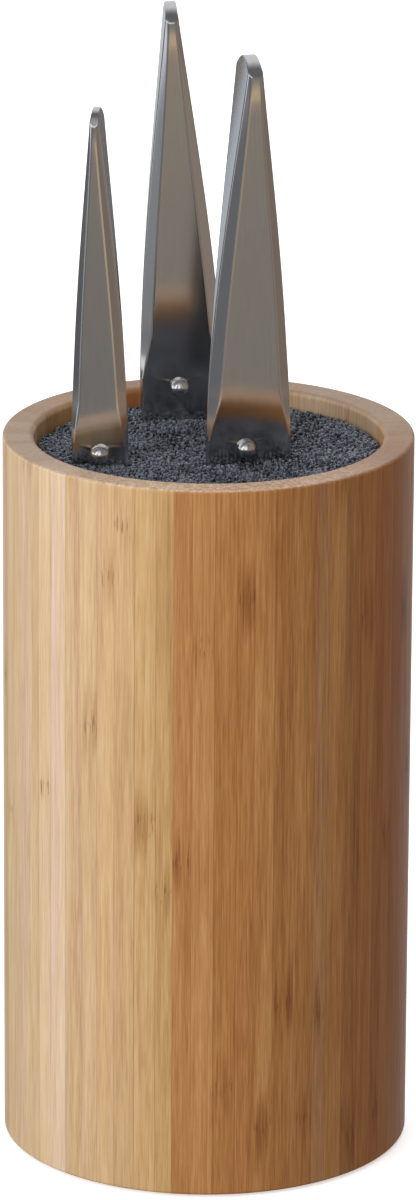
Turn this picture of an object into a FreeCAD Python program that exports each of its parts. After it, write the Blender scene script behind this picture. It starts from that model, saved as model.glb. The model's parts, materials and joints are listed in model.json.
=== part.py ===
"""Round bamboo knife block with a bristle insert and three steel knives.

Units are millimetres, +Z is up, and the origin is the centre of the resting plane.
Each knife has its own frame: the origin on the handle's centre line, level with the
pearl, +Z along the handle, +X from the spine to the cutting edge and +Y through the
blade's thickness.
"""

import FreeCAD
import Part
import math
import os
import Sketcher

# ---------------------------------------------------------------- driving dimensions
BLOCK = [
    ("block_dia", 125.0, "outer diameter of the bamboo tube"),
    ("block_height", 224.5, "floor to rim"),
    ("wall", 9.5, "bamboo wall at the rim"),
    ("stave_count", 16, "glued staves round the tube"),
    ("stave_turn", -9.3, "turn of the first stave's edge from +X, degrees"),
    ("foot_gap", 0.8, "how far the pads lift the bamboo off the table"),
    ("outer_round", 1.0, "rounding of the outer rim and of the foot of the tube"),
    ("inner_round", 1.8, "rounding of the inner rim"),
    ("base_thick", 12.0, "base disc"),
    ("glue_gap", 0.02, "base disc in the tube, radial"),
    ("foot_dia", 12.0, "pad"),
    ("foot_thick", 2.4, "pad, partly sunk into the base disc"),
    ("foot_bevel", 0.4, "bevel round the lower face of a pad"),
    ("foot_ring", 41.0, "radius on which the pads sit"),
    ("foot_count", 4, "pads"),
]
INSERT = [
    ("cup_play", 0.5, "cup to bamboo, radial and under the cup"),
    ("cup_wall", 1.6, "cup wall and floor"),
    ("cup_height", 190.0, "cup, floor to rim"),
    ("plate_thick", 3.0, "plate that holds the lower ends of the bristles"),
    ("bristle_drop", 5.2, "bamboo rim down to the bristle tips"),
    ("fit_gap", 0.3, "bristles to the cup, and bristle head to the cup rim"),
    ("slot_play", 0.45, "slot to blade, on every side"),
]
# One row per knife; the columns are named in KNIFE_COLUMNS.
KNIFE_COLUMNS = [
    ("x", "pearl, across the block"),
    ("y", "pearl, along the view axis"),
    ("rise", "pearl above the bristle tips"),
    ("turn", "turn about the vertical, degrees"),
    ("lean", "lean towards +X, degrees"),
    ("base_width", "handle at the pearl"),
    ("butt_width", "handle at the butt"),
    ("butt_thick", "handle thickness at the butt"),
    ("handle_length", "pearl to butt ridge"),
    ("blade_length", "heel to tip"),
    ("blade_width", "spine to edge at the heel"),
    ("tip_drop", "how far the spine falls towards the edge at the tip"),
    ("pearl_off", "pearl off the centre line, towards the edge"),
    ("bulge", "how far each narrow side of the handle bows outwards"),
]
KNIVES = {
    "chef": (-8.1, 33.0, 10.4, 3.5, -2.0, 26.0, 3.4, 17.6, 120.8, 195.0, 41.0, 6.0, -1.0, 1.2),
    "santoku": (12.0, -11.8, 4.0, 14.0, -0.2, 26.4, 4.6, 18.0, 121.2, 178.0, 37.0, 12.0, -1.1, 1.4),
    "paring": (-32.6, -16.3, 3.3, -9.5, -0.6, 17.3, 2.8, 12.5, 106.8, 88.0, 17.6, 5.0, 0.3, 1.1),
}
STEEL = [
    ("blade_thick", 2.2, "blade at the spine"),
    ("edge_thick", 0.25, "blade at the cutting edge"),
    ("tip_width", 0.5, "blade at the very tip, spine to edge"),
    ("pearl_dia", 6.0, "steel ball at the junction of handle and blade"),
    ("pearl_sink", 2.1, "how much of each ball's diameter is sunk below the blade's face"),
    ("pin_dia", 3.0, "shank that joins the two balls"),
    ("shoulder", 3.3, "pearl's centre up to the lower end of the handle"),
    ("heel_below", 2.5, "bristle tips down to the heel"),
    ("tang_length", 24.0, "flat tang inside the handle"),
    ("tang_width", 10.0, "flat tang inside the handle"),
    ("tang_play", 0.02, "tang in the handle's slot"),
    ("shell_wall", 1.2, "handle shell"),
    ("neck_thick", 3.4, "handle thickness at the shoulder"),
    ("flat_start", 0.18, "share of the handle where its narrow side flats begin"),
    ("ridge_width", 0.6, "narrow side flats where they begin"),
    ("butt_flat_share", 0.86, "side flat over full thickness at the butt"),
    ("face_inset", 3.5, "greatest width of the chamfer between face and side flat"),
    ("butt_inset", 0.75, "the same chamfer at the butt"),
    ("roof_rise", 5.2, "height of the roof-shaped butt"),
]


def fill_sheet(doc):
    """Every driving dimension is one cell with an alias and a note beside it."""
    sheet = doc.addObject("Spreadsheet::Sheet", "dims")
    rows = BLOCK + INSERT + STEEL
    for knife, values in KNIVES.items():
        rows = rows + [
            (f"{knife}_{column}", value, f"{knife}: {note}")
            for (column, note), value in zip(KNIFE_COLUMNS, values)
        ]
    for row, (alias, value, note) in enumerate(rows, start=1):
        sheet.set(f"A{row}", str(value))
        sheet.setAlias(f"A{row}", alias)
        sheet.set(f"B{row}", note)
    doc.recompute()
    return sheet


CLOSE = 1e-3  # two lengths nearer than this are the same

doc = FreeCAD.newDocument("knife_block")
dims = fill_sheet(doc)
parts = []


def number(expression):
    """The value of an expression of sheet cells."""
    return float(dims.evalExpression(expression.replace("dims.", "")))


def bind(thing, **bindings):
    """Binds properties to expressions; Placement parts are written Placement__Base__z."""
    for prop, expression in bindings.items():
        thing.setExpression(prop.replace("__", "."), expression)


def new_body(label):
    body = doc.addObject("PartDesign::Body", label)
    body.Label = label
    parts.append(body)
    return body


def origin_plane(body, role):
    return next(f for f in body.Origin.OriginFeatures if f.Role == role)


def polygon_sketch(body, name, role, points, height=None):
    """A closed polygon on an origin plane, every corner bound to the sheet."""
    sketch = body.newObject("Sketcher::SketchObject", name)
    sketch.AttachmentSupport = [(origin_plane(body, role), "")]
    sketch.MapMode = "FlatFace"
    if height is not None:
        bind(sketch, AttachmentOffset__Base__z=height)
    corners = [FreeCAD.Vector(number(x), number(y), 0) for x, y in points]
    count = len(corners)
    for i, corner in enumerate(corners):
        sketch.addGeometry(Part.LineSegment(corner, corners[(i + 1) % count]), False)
    for i in range(count):
        sketch.addConstraint(Sketcher.Constraint("Coincident", i, 2, (i + 1) % count, 1))
    for i, (x, y) in enumerate(points):
        for kind, expression, value in (
            ("DistanceX", x, corners[i].x),
            ("DistanceY", y, corners[i].y),
        ):
            made = sketch.addConstraint(Sketcher.Constraint(kind, -1, 1, i, 1, value))
            sketch.setExpression(f"Constraints[{made}]", expression)
    return sketch


def revolve(body, name, points, angle="360"):
    """Turns a polygon of (radius, height) pairs about Z."""
    sketch = polygon_sketch(body, name + "_profile", "XZ_Plane", points)
    turn = body.newObject("PartDesign::Revolution", name)
    turn.Profile = sketch
    turn.ReferenceAxis = (sketch, ["V_Axis"])
    bind(turn, Angle=angle)
    return turn


def pocket_all(body, name, sketch):
    cut = body.newObject("PartDesign::Pocket", name)
    cut.Profile = sketch
    cut.Type = "ThroughAll"
    cut.Midplane = True
    return cut


def round_edges(body, name, base, radius, chosen):
    """Fillets the edges of a feature for which chosen(edge) is true."""
    doc.recompute()
    names = [f"Edge{i}" for i, e in enumerate(base.Shape.Edges, start=1) if chosen(e)]
    fillet = body.newObject("PartDesign::Fillet", name)
    fillet.Base = (base, names)
    bind(fillet, Radius=radius)
    return fillet


def is_rim(edge, radius, height):
    """True for a level arc about Z of this radius at this height."""
    if not isinstance(edge.Curve, Part.Circle) or edge.BoundBox.ZLength > CLOSE:
        return False
    return abs(edge.Curve.Radius - radius) < CLOSE and abs(edge.BoundBox.ZMin - height) < CLOSE


# ---------------------------------------------------------------- bamboo tube and base
OUTER = "dims.block_dia / 2"
INNER = "(dims.block_dia / 2 - dims.wall)"
BASE_TOP = "(dims.foot_gap + dims.base_thick)"


def make_stave(index):
    """One glued stave of the tube: a sector of the ring, rounded at rim and foot."""
    body = new_body(f"stave_{index + 1:02d}")
    low, high = "dims.foot_gap", "dims.block_height"
    profile = [(INNER, low), (OUTER, low), (OUTER, high), (INNER, high)]
    ring = revolve(body, f"ring_{index + 1:02d}", profile, "360 / dims.stave_count")
    outer, inner = number(OUTER), number(INNER)
    outside = round_edges(
        body,
        f"outer_rounds_{index + 1:02d}",
        ring,
        "dims.outer_round",
        lambda e: any(is_rim(e, outer, number(z)) for z in (low, high)),
    )
    round_edges(
        body,
        f"inner_round_{index + 1:02d}",
        outside,
        "dims.inner_round",
        lambda e: is_rim(e, inner, number(high)),
    )
    bind(
        body,
        Placement__Rotation__Angle=f"{index} * 360 / dims.stave_count + dims.stave_turn",
    )


def make_base_disc():
    """The bottom of the tube, with a round recess for each pad."""
    body = new_body("base_disc")
    radius = f"{INNER} - dims.glue_gap"
    low = "dims.foot_gap"
    disc = revolve(body, "disc", [("0", low), (radius, low), (radius, BASE_TOP), ("0", BASE_TOP)])
    sketch = body.newObject("Sketcher::SketchObject", "recess_outline")
    sketch.AttachmentSupport = [(origin_plane(body, "XY_Plane"), "")]
    sketch.MapMode = "FlatFace"
    ring, foot_radius = number("dims.foot_ring"), number("dims.foot_dia / 2")
    up = FreeCAD.Vector(0, 0, 1)
    sketch.addGeometry(Part.Circle(FreeCAD.Vector(ring, 0, 0), up, foot_radius), False)
    sketch.addConstraint(Sketcher.Constraint("PointOnObject", 0, 3, -1))
    across = sketch.addConstraint(Sketcher.Constraint("DistanceX", -1, 1, 0, 3, ring))
    sketch.setExpression(f"Constraints[{across}]", "dims.foot_ring")
    size = sketch.addConstraint(Sketcher.Constraint("Radius", 0, foot_radius))
    sketch.setExpression(f"Constraints[{size}]", "dims.foot_dia / 2")
    recess = body.newObject("PartDesign::Pocket", "recess")
    recess.Profile = sketch
    recess.Reversed = True
    bind(recess, Length="dims.foot_thick")
    doc.recompute()
    before, after = disc.Shape.Volume, recess.Shape.Volume
    if before - after < 1:
        raise RuntimeError("the recess cuts nothing")
    pattern = body.newObject("PartDesign::PolarPattern", "recesses")
    pattern.Originals = [recess]
    pattern.Axis = (sketch, ["N_Axis"])
    pattern.Angle = 360
    bind(pattern, Occurrences="dims.foot_count")
    body.Tip = pattern


def make_foot(index):
    """A soft pad pressed into its recess; only its lowest part shows."""
    body = new_body(f"foot_{index + 1}")
    radius, bevel = "dims.foot_dia / 2", "dims.foot_bevel"
    profile = [
        ("0", "0"),
        (f"{radius} - {bevel}", "0"),
        (radius, bevel),
        (radius, "dims.foot_thick"),
        ("0", "dims.foot_thick"),
    ]
    revolve(body, f"pad_{index + 1}", profile)
    angle = f"{index} * 360deg / dims.foot_count"
    bind(
        body,
        Placement__Base__x=f"dims.foot_ring * cos({angle})",
        Placement__Base__y=f"dims.foot_ring * sin({angle})",
    )


# ---------------------------------------------------------------- lift-out insert
CUP_BOTTOM = f"({BASE_TOP} + dims.cup_play)"
CUP_TOP = f"({CUP_BOTTOM} + dims.cup_height)"
CUP_OUTER = f"({INNER} - dims.cup_play)"
CUP_INNER = f"({CUP_OUTER} - dims.cup_wall)"
CUP_FLOOR = f"({CUP_BOTTOM} + dims.cup_wall)"
PLATE_TOP = f"({CUP_FLOOR} + dims.plate_thick)"
TIPS = "(dims.block_height - dims.bristle_drop)"


def make_cup():
    """The plastic cup that holds the bristles and lifts out with them."""
    body = new_body("insert_cup")
    profile = [
        ("0", CUP_BOTTOM),
        (CUP_OUTER, CUP_BOTTOM),
        (CUP_OUTER, CUP_TOP),
        (CUP_INNER, CUP_TOP),
        (CUP_INNER, CUP_FLOOR),
        ("0", CUP_FLOOR),
    ]
    revolve(body, "cup_wall_and_floor", profile)


def make_plate():
    """The plate on the cup's floor in which the bristles are rooted."""
    body = new_body("bristle_plate")
    radius = f"{CUP_INNER} - dims.fit_gap"
    profile = [("0", CUP_FLOOR), (radius, CUP_FLOOR), (radius, PLATE_TOP), ("0", PLATE_TOP)]
    revolve(body, "plate", profile)


def heel_depth(knife):
    """Pearl's centre down to the heel, in the knife's frame."""
    return f"(dims.{knife}_rise + dims.heel_below)"


def knife_placement(thing, knife):
    """Puts a part made in the knife's frame where the knife stands."""
    spot = FreeCAD.Vector(
        number(f"dims.{knife}_x"),
        number(f"dims.{knife}_y"),
        number(f"{TIPS} + dims.{knife}_rise"),
    )
    turn = FreeCAD.Rotation(FreeCAD.Vector(0, 0, 1), number(f"dims.{knife}_turn"))
    lean = FreeCAD.Rotation(FreeCAD.Vector(0, 1, 0), number(f"dims.{knife}_lean"))
    thing.Placement = FreeCAD.Placement(spot, turn * lean)
    bind(
        thing,
        Placement__Base__x=f"dims.{knife}_x",
        Placement__Base__y=f"dims.{knife}_y",
        Placement__Base__z=f"{TIPS} + dims.{knife}_rise",
    )


def blade_slot(knife):
    """A straight slot that clears the blade's widest part over its whole travel."""
    slot = doc.addObject("Part::Box", f"{knife}_slot")
    play = "dims.slot_play"
    deep = f"({heel_depth(knife)} + dims.{knife}_blade_length + 2 * {play})"
    bind(
        slot,
        Length=f"dims.{knife}_blade_width + 2 * {play}",
        Width=f"dims.blade_thick + 2 * {play}",
        Height=f"{deep} + dims.shoulder",
    )
    frame = doc.addObject("Part::Compound", f"{knife}_slot_in_place")
    bind(
        slot,
        Placement__Base__x=f"-dims.{knife}_base_width / 2 - {play}",
        Placement__Base__y=f"-dims.blade_thick / 2 - {play}",
        Placement__Base__z=f"-{deep}",
    )
    frame.Links = [slot]
    knife_placement(frame, knife)
    return frame


def make_bristles():
    """Stand-in solid for the bristles: their envelope, with a slot for each blade."""
    stem = doc.addObject("Part::Cylinder", "bristle_stem")
    bind(
        stem,
        Radius=f"{CUP_INNER} - dims.fit_gap",
        Height=f"{TIPS} - {PLATE_TOP}",
        Placement__Base__z=PLATE_TOP,
    )
    head = doc.addObject("Part::Cylinder", "bristle_head")
    bind(
        head,
        Radius=f"{CUP_OUTER} - dims.fit_gap",
        Height=f"{TIPS} - {CUP_TOP} - dims.fit_gap",
        Placement__Base__z=f"{CUP_TOP} + dims.fit_gap",
    )
    whole = doc.addObject("Part::MultiFuse", "bristle_envelope")
    whole.Shapes = [stem, head]
    whole.Refine = True
    slots = doc.addObject("Part::MultiFuse", "blade_slots")
    slots.Shapes = [blade_slot(knife) for knife in KNIVES]
    bristles = doc.addObject("Part::Cut", "bristle_bundle")
    bristles.Base, bristles.Tool = whole, slots
    bristles.Label = "bristle_bundle"
    parts.append(bristles)


# ---------------------------------------------------------------- knives
# Stations are shares of the blade from heel to tip, or of the handle from shoulder to butt.
BLADE_STATIONS = (0.0, 0.2, 0.4, 0.6, 0.75, 0.88, 0.96, 1.0)
BELLY_POWER = 2.6  # the edge runs straight at first and curves up towards the tip
SPINE_POWER = 3
DISTAL_TAPER = 0.55  # share of the spine's thickness lost at the tip
HANDLE_STATIONS = (0.0, 0.12, 0.3, 0.5, 0.7, 0.88, 1.0)
CAVITY_STATIONS = (0.24, 0.5, 0.7, 0.93)
CHAMFER_FULL_AT = 0.12  # the chamfers reach their full width here
FLAT_POWER = 1.2  # growth of the narrow side flats
CAVITY_FLAT_SHARE = 0.8  # side flat of the cavity over that of the outside
# Roof-shaped butt: (share of the half thickness, share of the rise), from the ridge outwards.
ROOF = ((0.0, 0.0), (0.3, 0.09), (0.6, 0.4), (1.1, 1.12))


def bow(share):
    """Outward bow of the handle's narrow sides: 0 at both ends, 1 at its greatest."""
    return 5.38 * share * (1 - share) ** 1.5


def loft(body, kind, name, sections):
    """Additive or subtractive loft through (height, corners) sections."""
    sketches = [
        polygon_sketch(body, f"{name}_section_{i}", "XY_Plane", corners, height)
        for i, (height, corners) in enumerate(sections, start=1)
    ]
    made = body.newObject(f"PartDesign::{kind}Loft", name)
    made.Profile = sketches[0]
    made.Sections = sketches[1:]
    made.Ruled = True
    return made


def blade_section(knife, share):
    """Trapezoid across the blade: share runs from 0 at the heel to 1 at the tip."""
    back_line = f"-dims.{knife}_base_width / 2"
    drop = f"dims.{knife}_tip_drop"
    depth = 1 - share**BELLY_POWER
    spine = f"({back_line} + {drop} * {share**SPINE_POWER:.4f})"
    cutting = (
        f"({back_line} + {drop} + dims.tip_width"
        f" + (dims.{knife}_blade_width - {drop} - dims.tip_width) * {depth:.4f})"
    )
    back = f"dims.blade_thick / 2 * {1 - DISTAL_TAPER * share:.4f}"
    edge = "dims.edge_thick / 2"
    height = f"-{heel_depth(knife)} - dims.{knife}_blade_length * {share}"
    corners = [(spine, f"-{back}"), (cutting, f"-{edge}"), (cutting, edge), (spine, back)]
    return height, corners


def make_blade(knife):
    """Tapered blade, flat ricasso with the pearl's hole, and a short tang."""
    body = new_body(f"{knife}_blade")
    loft(body, "Additive", f"{knife}_grind", [blade_section(knife, s) for s in BLADE_STATIONS])
    half = f"dims.{knife}_base_width / 2"
    tang = "dims.tang_width / 2"
    tang_top = "dims.shoulder + dims.tang_length"
    outline = polygon_sketch(
        body,
        f"{knife}_ricasso_outline",
        "XZ_Plane",
        [
            (f"-{half}", f"-{heel_depth(knife)}"),
            (half, f"-{heel_depth(knife)}"),
            (half, "dims.shoulder"),
            (tang, "dims.shoulder"),
            (tang, tang_top),
            (f"-{tang}", tang_top),
            (f"-{tang}", "dims.shoulder"),
            (f"-{half}", "dims.shoulder"),
        ],
    )
    ricasso = body.newObject("PartDesign::Pad", f"{knife}_ricasso")
    ricasso.Profile = outline
    ricasso.Midplane = True
    bind(ricasso, Length="dims.blade_thick")
    pocket_all(body, f"{knife}_pearl_hole", pearl_circle(body, knife))
    knife_placement(body, knife)


def pearl_circle(body, knife):
    """Sketch of the pin's hole, on the mid-plane at the pearl."""
    sketch = body.newObject("Sketcher::SketchObject", f"{knife}_pearl_circle")
    sketch.AttachmentSupport = [(origin_plane(body, "XZ_Plane"), "")]
    sketch.MapMode = "FlatFace"
    radius = number("dims.pin_dia / 2")
    middle = FreeCAD.Vector(number(f"dims.{knife}_pearl_off"), 0, 0)
    normal = FreeCAD.Vector(0, 0, 1)
    sketch.addGeometry(Part.Circle(middle, normal, radius), False)
    sketch.addConstraint(Sketcher.Constraint("PointOnObject", 0, 3, -1))
    across = sketch.addConstraint(Sketcher.Constraint("DistanceX", -1, 1, 0, 3, middle.x))
    sketch.setExpression(f"Constraints[{across}]", f"dims.{knife}_pearl_off")
    size = sketch.addConstraint(Sketcher.Constraint("Radius", 0, radius))
    sketch.setExpression(f"Constraints[{size}]", "dims.pin_dia / 2")
    return sketch


def handle_height(knife, share):
    return f"(dims.shoulder + (dims.{knife}_handle_length - dims.shoulder) * {share})"


def shell_section(knife, share, side, inset):
    """Half of the handle's eight-sided section, on one side of the mid-plane.

    The handle is wide and thin at the shoulder, narrow and thick at the butt.
    side is 1 or -1 along Y; inset moves the outline inwards for the cavity.
    """
    width = (
        f"(dims.{knife}_base_width / 2 * {1 - share:.4f} + dims.{knife}_butt_width / 2"
        f" * {share:.4f} + dims.{knife}_bulge * {bow(share):.4f} - {inset})"
    )
    chamfer = min(1.0, share / CHAMFER_FULL_AT) * (1 - share**SPINE_POWER)
    face = (
        f"({width} - dims.butt_inset - (dims.face_inset - dims.butt_inset)"
        f" * dims.{knife}_base_width / dims.santoku_base_width * {chamfer:.4f})"
    )
    thick = (
        f"(dims.neck_thick / 2 * {1 - share:.4f} + dims.{knife}_butt_thick / 2"
        f" * {share:.4f} - {inset})"
    )
    start = number("dims.flat_start")
    grown = (max(0.0, share - start) / (1 - start)) ** FLAT_POWER
    flat = (
        f"(dims.ridge_width / 2 + (dims.{knife}_butt_thick / 2 * dims.butt_flat_share"
        f" - dims.ridge_width / 2) * {grown:.4f})"
    )
    if inset != "0":
        flat = f"({flat} * {CAVITY_FLAT_SHARE})"
    half = [(face, thick), (width, flat), (width, "0")]
    outline = [(f"-{x}", y) for x, y in reversed(half)] + half
    return [(x, f"{side} * {y}") for x, y in outline]


def make_shell(knife, side, label):
    """Half of the hollow handle, split along the blade's plane and welded."""
    body = new_body(label)
    for kind, name, stations, inset in (
        ("Additive", "facets", HANDLE_STATIONS, "0"),
        ("Subtractive", "cavity", CAVITY_STATIONS, "dims.shell_wall"),
    ):
        sections = [
            (handle_height(knife, share), shell_section(knife, share, side, inset))
            for share in stations
        ]
        loft(body, kind, f"{label}_{name}", sections)
    butt, half = f"dims.{knife}_handle_length", f"dims.{knife}_butt_thick / 2"
    roof = [
        (f"{side} * {half} * {out}", f"{butt} - dims.roof_rise * {down}") for out, down in ROOF
    ]
    roof += [(roof[-1][0], f"{butt} + 1"), ("0", f"{butt} + 1")]
    outline = polygon_sketch(body, f"{label}_roof_outline", "YZ_Plane", roof)
    pocket_all(body, f"{label}_roof", outline)
    tang = "(dims.tang_width / 2 + dims.tang_play)"
    slot_deep = "(dims.blade_thick / 2 + dims.tang_play)"
    slot = polygon_sketch(
        body,
        f"{label}_tang_slot_outline",
        "XY_Plane",
        [
            (f"-{tang}", "0"),
            (f"-{tang}", f"{side} * {slot_deep}"),
            (tang, f"{side} * {slot_deep}"),
            (tang, "0"),
        ],
        "dims.shoulder",
    )
    tang_slot = body.newObject("PartDesign::Pocket", f"{label}_tang_slot")
    tang_slot.Profile = slot
    tang_slot.Reversed = True
    bind(tang_slot, Length="dims.tang_length + dims.tang_play")
    knife_placement(body, knife)


def make_pearl(knife):
    """Two steel balls on one shank, each seated flat on the blade."""
    face, radius = "dims.blade_thick / 2", "dims.pearl_dia / 2"
    out = number(f"{radius} - dims.pearl_sink")
    latitude = math.degrees(math.asin(out / number(radius)))
    balls = []
    for side, name in ((1, "back"), (-1, "front")):
        ball = doc.addObject("Part::Sphere", f"{knife}_{name}_ball")
        bind(ball, Radius=radius)
        ball.Angle1 = -latitude
        axis = FreeCAD.Vector(-side, 0, 0)
        spot = FreeCAD.Vector(0, side * number(f"{face} + {radius} - dims.pearl_sink"), 0)
        ball.Placement = FreeCAD.Placement(spot, FreeCAD.Rotation(axis, 90))
        bind(
            ball,
            Placement__Base__x=f"dims.{knife}_pearl_off",
            Placement__Base__y=f"{side} * ({face} + {radius} - dims.pearl_sink)",
        )
        balls.append(ball)
    shank = doc.addObject("Part::Cylinder", f"{knife}_shank")
    bind(shank, Radius="dims.pin_dia / 2 - dims.tang_play", Height="dims.blade_thick")
    turned = FreeCAD.Rotation(FreeCAD.Vector(-1, 0, 0), 90)
    shank.Placement = FreeCAD.Placement(FreeCAD.Vector(0, 0, 0), turned)
    bind(shank, Placement__Base__x=f"dims.{knife}_pearl_off", Placement__Base__y=f"-{face}")
    pearl = doc.addObject("Part::MultiFuse", f"{knife}_pearl")
    pearl.Shapes = balls + [shank]
    pearl.Label = f"{knife}_pearl"
    knife_placement(pearl, knife)
    parts.append(pearl)


def check(objects):
    """Stops on any failed object and on any sub-part that isn't a valid solid."""
    for thing in doc.Objects:
        if "Invalid" in thing.State or "Error" in thing.State:
            raise RuntimeError(f"{thing.Name} failed: {thing.State}")
    for thing in objects:
        shape = thing.Shape
        if shape.isNull() or not shape.isValid() or not shape.Solids:
            raise RuntimeError(f"{thing.Label} has no valid solid")


for index in range(int(number("dims.stave_count"))):
    make_stave(index)
make_base_disc()
for index in range(int(number("dims.foot_count"))):
    make_foot(index)
make_cup()
make_plate()
make_bristles()
for knife in KNIVES:
    make_blade(knife)
    make_shell(knife, -1, f"{knife}_front_shell")
    make_shell(knife, 1, f"{knife}_back_shell")
    make_pearl(knife)

doc.recompute()
check(parts)
os.makedirs("parts", exist_ok=True)
for part in parts:
    part.Shape.exportStep(f"parts/{part.Label}.step")
    box = part.Shape.BoundBox
    print(f"{part.Label:22s} {len(part.Shape.Solids)} solid, {part.Shape.Volume:10.1f} mm3, "
          f"z {box.ZMin:7.2f} to {box.ZMax:7.2f}")
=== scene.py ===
import json
import math

import bpy
import numpy as np
from mathutils import Matrix, Quaternion, Vector, kdtree, noise


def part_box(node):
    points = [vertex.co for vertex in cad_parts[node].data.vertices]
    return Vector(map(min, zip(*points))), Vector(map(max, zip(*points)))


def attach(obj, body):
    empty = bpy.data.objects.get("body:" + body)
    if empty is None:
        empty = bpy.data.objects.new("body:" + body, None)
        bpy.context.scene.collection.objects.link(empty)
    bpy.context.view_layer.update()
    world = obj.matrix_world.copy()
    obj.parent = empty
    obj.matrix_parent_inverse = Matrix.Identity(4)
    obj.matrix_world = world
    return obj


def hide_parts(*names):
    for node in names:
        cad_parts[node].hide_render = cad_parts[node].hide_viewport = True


# Metres, +Z up, the camera stands on the -Y side. A "front angle" is measured about the
# block's axis from the camera's side, positive to the right. Knife pieces are made in the
# knife's own frame: origin on the handle's centre line level with the pearl, +Z along the
# handle, +X from the spine to the cutting edge, +Y through the blade's thickness.

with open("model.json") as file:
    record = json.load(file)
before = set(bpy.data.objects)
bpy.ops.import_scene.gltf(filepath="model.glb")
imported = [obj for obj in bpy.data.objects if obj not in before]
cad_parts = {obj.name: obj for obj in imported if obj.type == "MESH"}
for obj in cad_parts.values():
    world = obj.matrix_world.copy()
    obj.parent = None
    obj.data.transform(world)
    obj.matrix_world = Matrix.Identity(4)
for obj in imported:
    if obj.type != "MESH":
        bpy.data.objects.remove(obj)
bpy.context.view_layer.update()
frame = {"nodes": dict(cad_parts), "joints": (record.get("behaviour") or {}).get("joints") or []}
MM = 0.001


# ---------------------------------------------------------------- sizes read from the frame
def size_of(node):
    low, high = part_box(node)
    return high - low


def half_width(node):
    return size_of(node).x / 2


BLOCK_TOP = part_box("stave_01")[1].z
BRISTLE_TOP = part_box("bristle_bundle")[1].z
PLATE_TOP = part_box("bristle_plate")[1].z
CUP_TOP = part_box("insert_cup")[1].z

FOOT_COUNT = 4
STAVE_COUNT = 16
STAVE_PITCH = math.tau / STAVE_COUNT
STAVE_TURN = math.radians(-9.3)  # a joint between two staves, as a front angle
STRIP_WIDTH = 6.75 * MM  # laminated strips within a stave
# How pale the wood is, by half staves from the joint at STAVE_TURN round to the right:
# 0 is a deep brown, WARM_AT the warm brown and 1 the palest cream; below 0 is darker still.
# The values are partly the staves' own tones and partly painted light: the palest staves at
# the left also carry a painted sheen, the pale ones at the back right a painted pool of light
# on the inner wall, and those below 0 at the back left painted shade on the inner wall.
HALF_STAVE_PALENESS_AND_PAINTED_LIGHT = (
    0.14, 0.14, 0.22, 0.32, 0.26, 0.08, 0.00, 0.10,
    0.20, 0.40, 0.80, 1.00, 0.95, 1.00, 0.80, 0.40,
    0.20, -0.10, -0.25, -0.25, 0.00, 0.36, 0.48, 0.62,
    0.78, 0.90, 1.00, 1.00, 1.00, 0.92, 0.68, 0.40,
)
# How golden it is, by half staves from the same joint.
HALF_STAVE_GOLD = (
    0.10, 0.00, 0.00, 0.00, 0.00, 0.00, 0.00, 0.05,
    0.10, 0.20, 0.10, 0.10, 0.10, 0.20, 0.30, 0.20,
    0.00, 0.00, 0.00, 0.00, 0.20, 0.30, 0.20, 0.10,
    0.10, 0.20, 0.30, 0.10, 0.00, 0.15, 0.35, 0.60,
)

BLADE_THICK = 2.2 * MM
EDGE_THICK = 0.25 * MM
TIP_WIDTH = 0.5 * MM
PEARL_RADIUS = 3.0 * MM
PEARL_SEAT = 0.9 * MM  # ball's centre out from the blade's face
SHANK_RADIUS = 1.48 * MM
SHOULDER = 3.3 * MM  # pearl's centre up to the handle
HEEL_BELOW = 2.5 * MM  # bristle tips down to the heel
NECK_THICK = 3.4 * MM
RIDGE_WIDTH = 0.6 * MM
BUTT_FLAT_SHARE = 0.86
FACE_INSET = 3.5 * MM
BUTT_INSET = 0.75 * MM
ROOF_RISE = 6.3 * MM
WIDEST_BASE = 26.4 * MM

# name: base width, butt width, butt thickness, handle length, blade length, blade width,
# fall of the spine at the tip, pearl off the centre line, outward bow of the narrow sides
KNIFE_SIZES_MM = {
    "chef": (26.0, 3.3, 17.6, 120.8, 195.0, 41.0, 6.0, -1.0, 1.2),
    "santoku": (26.4, 3.9, 18.0, 121.2, 178.0, 37.0, 12.0, -1.1, 1.4),
    "paring": (17.3, 2.2, 12.5, 106.8, 88.0, 17.6, 5.0, 0.3, 1.1),
}


class Knife:
    """A knife's sizes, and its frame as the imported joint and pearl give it."""

    def __init__(self, name, sizes):
        self.name = name
        self.body = f"{name}_knife"
        (
            self.base_width,
            self.butt_width,
            self.butt_thick,
            self.length,
            self.blade_length,
            self.blade_width,
            self.tip_drop,
            self.pearl_off,
            self.bulge,
        ) = (size * MM for size in sizes)
        joint = next(j for j in frame["joints"] if j["child"] == self.body)
        self.up = Vector(joint["axis"]).normalized()
        pearl = np.array([v.co for v in frame["nodes"][f"{name}_pearl"].data.vertices])
        low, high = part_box(f"{name}_pearl")
        spread = np.linalg.eigh(np.cov(pearl.T))[1][:, -1]  # the two balls lie along Y
        through = Vector(spread if spread[1] > 0 else -spread)
        through = (through - through.project(self.up)).normalized()
        self.along = through.cross(self.up)
        self.origin = (low + high) / 2 - self.pearl_off * self.along
        self.matrix = Matrix.Translation(self.origin) @ Matrix(
            (self.along, through, self.up)
        ).transposed().to_4x4()
        self.heel = -(self.origin.z - BRISTLE_TOP + HEEL_BELOW)


KNIVES = [Knife(name, sizes) for name, sizes in KNIFE_SIZES_MM.items()]


# ---------------------------------------------------------------- camera, floor and lights
CAMERA_LENS = 216.43  # mm
CAMERA_SENSOR = 36  # mm
CAMERA_SPOT = Vector((0.000121, -2.10014, 0.83650))
CAMERA_TARGET = Vector((0.000121, 0.0, 0.17111))
CAMERA_ROLL = math.radians(0.326)

LIT_CENTRE = Vector((0, 0, BLOCK_TOP * 0.7))
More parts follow.
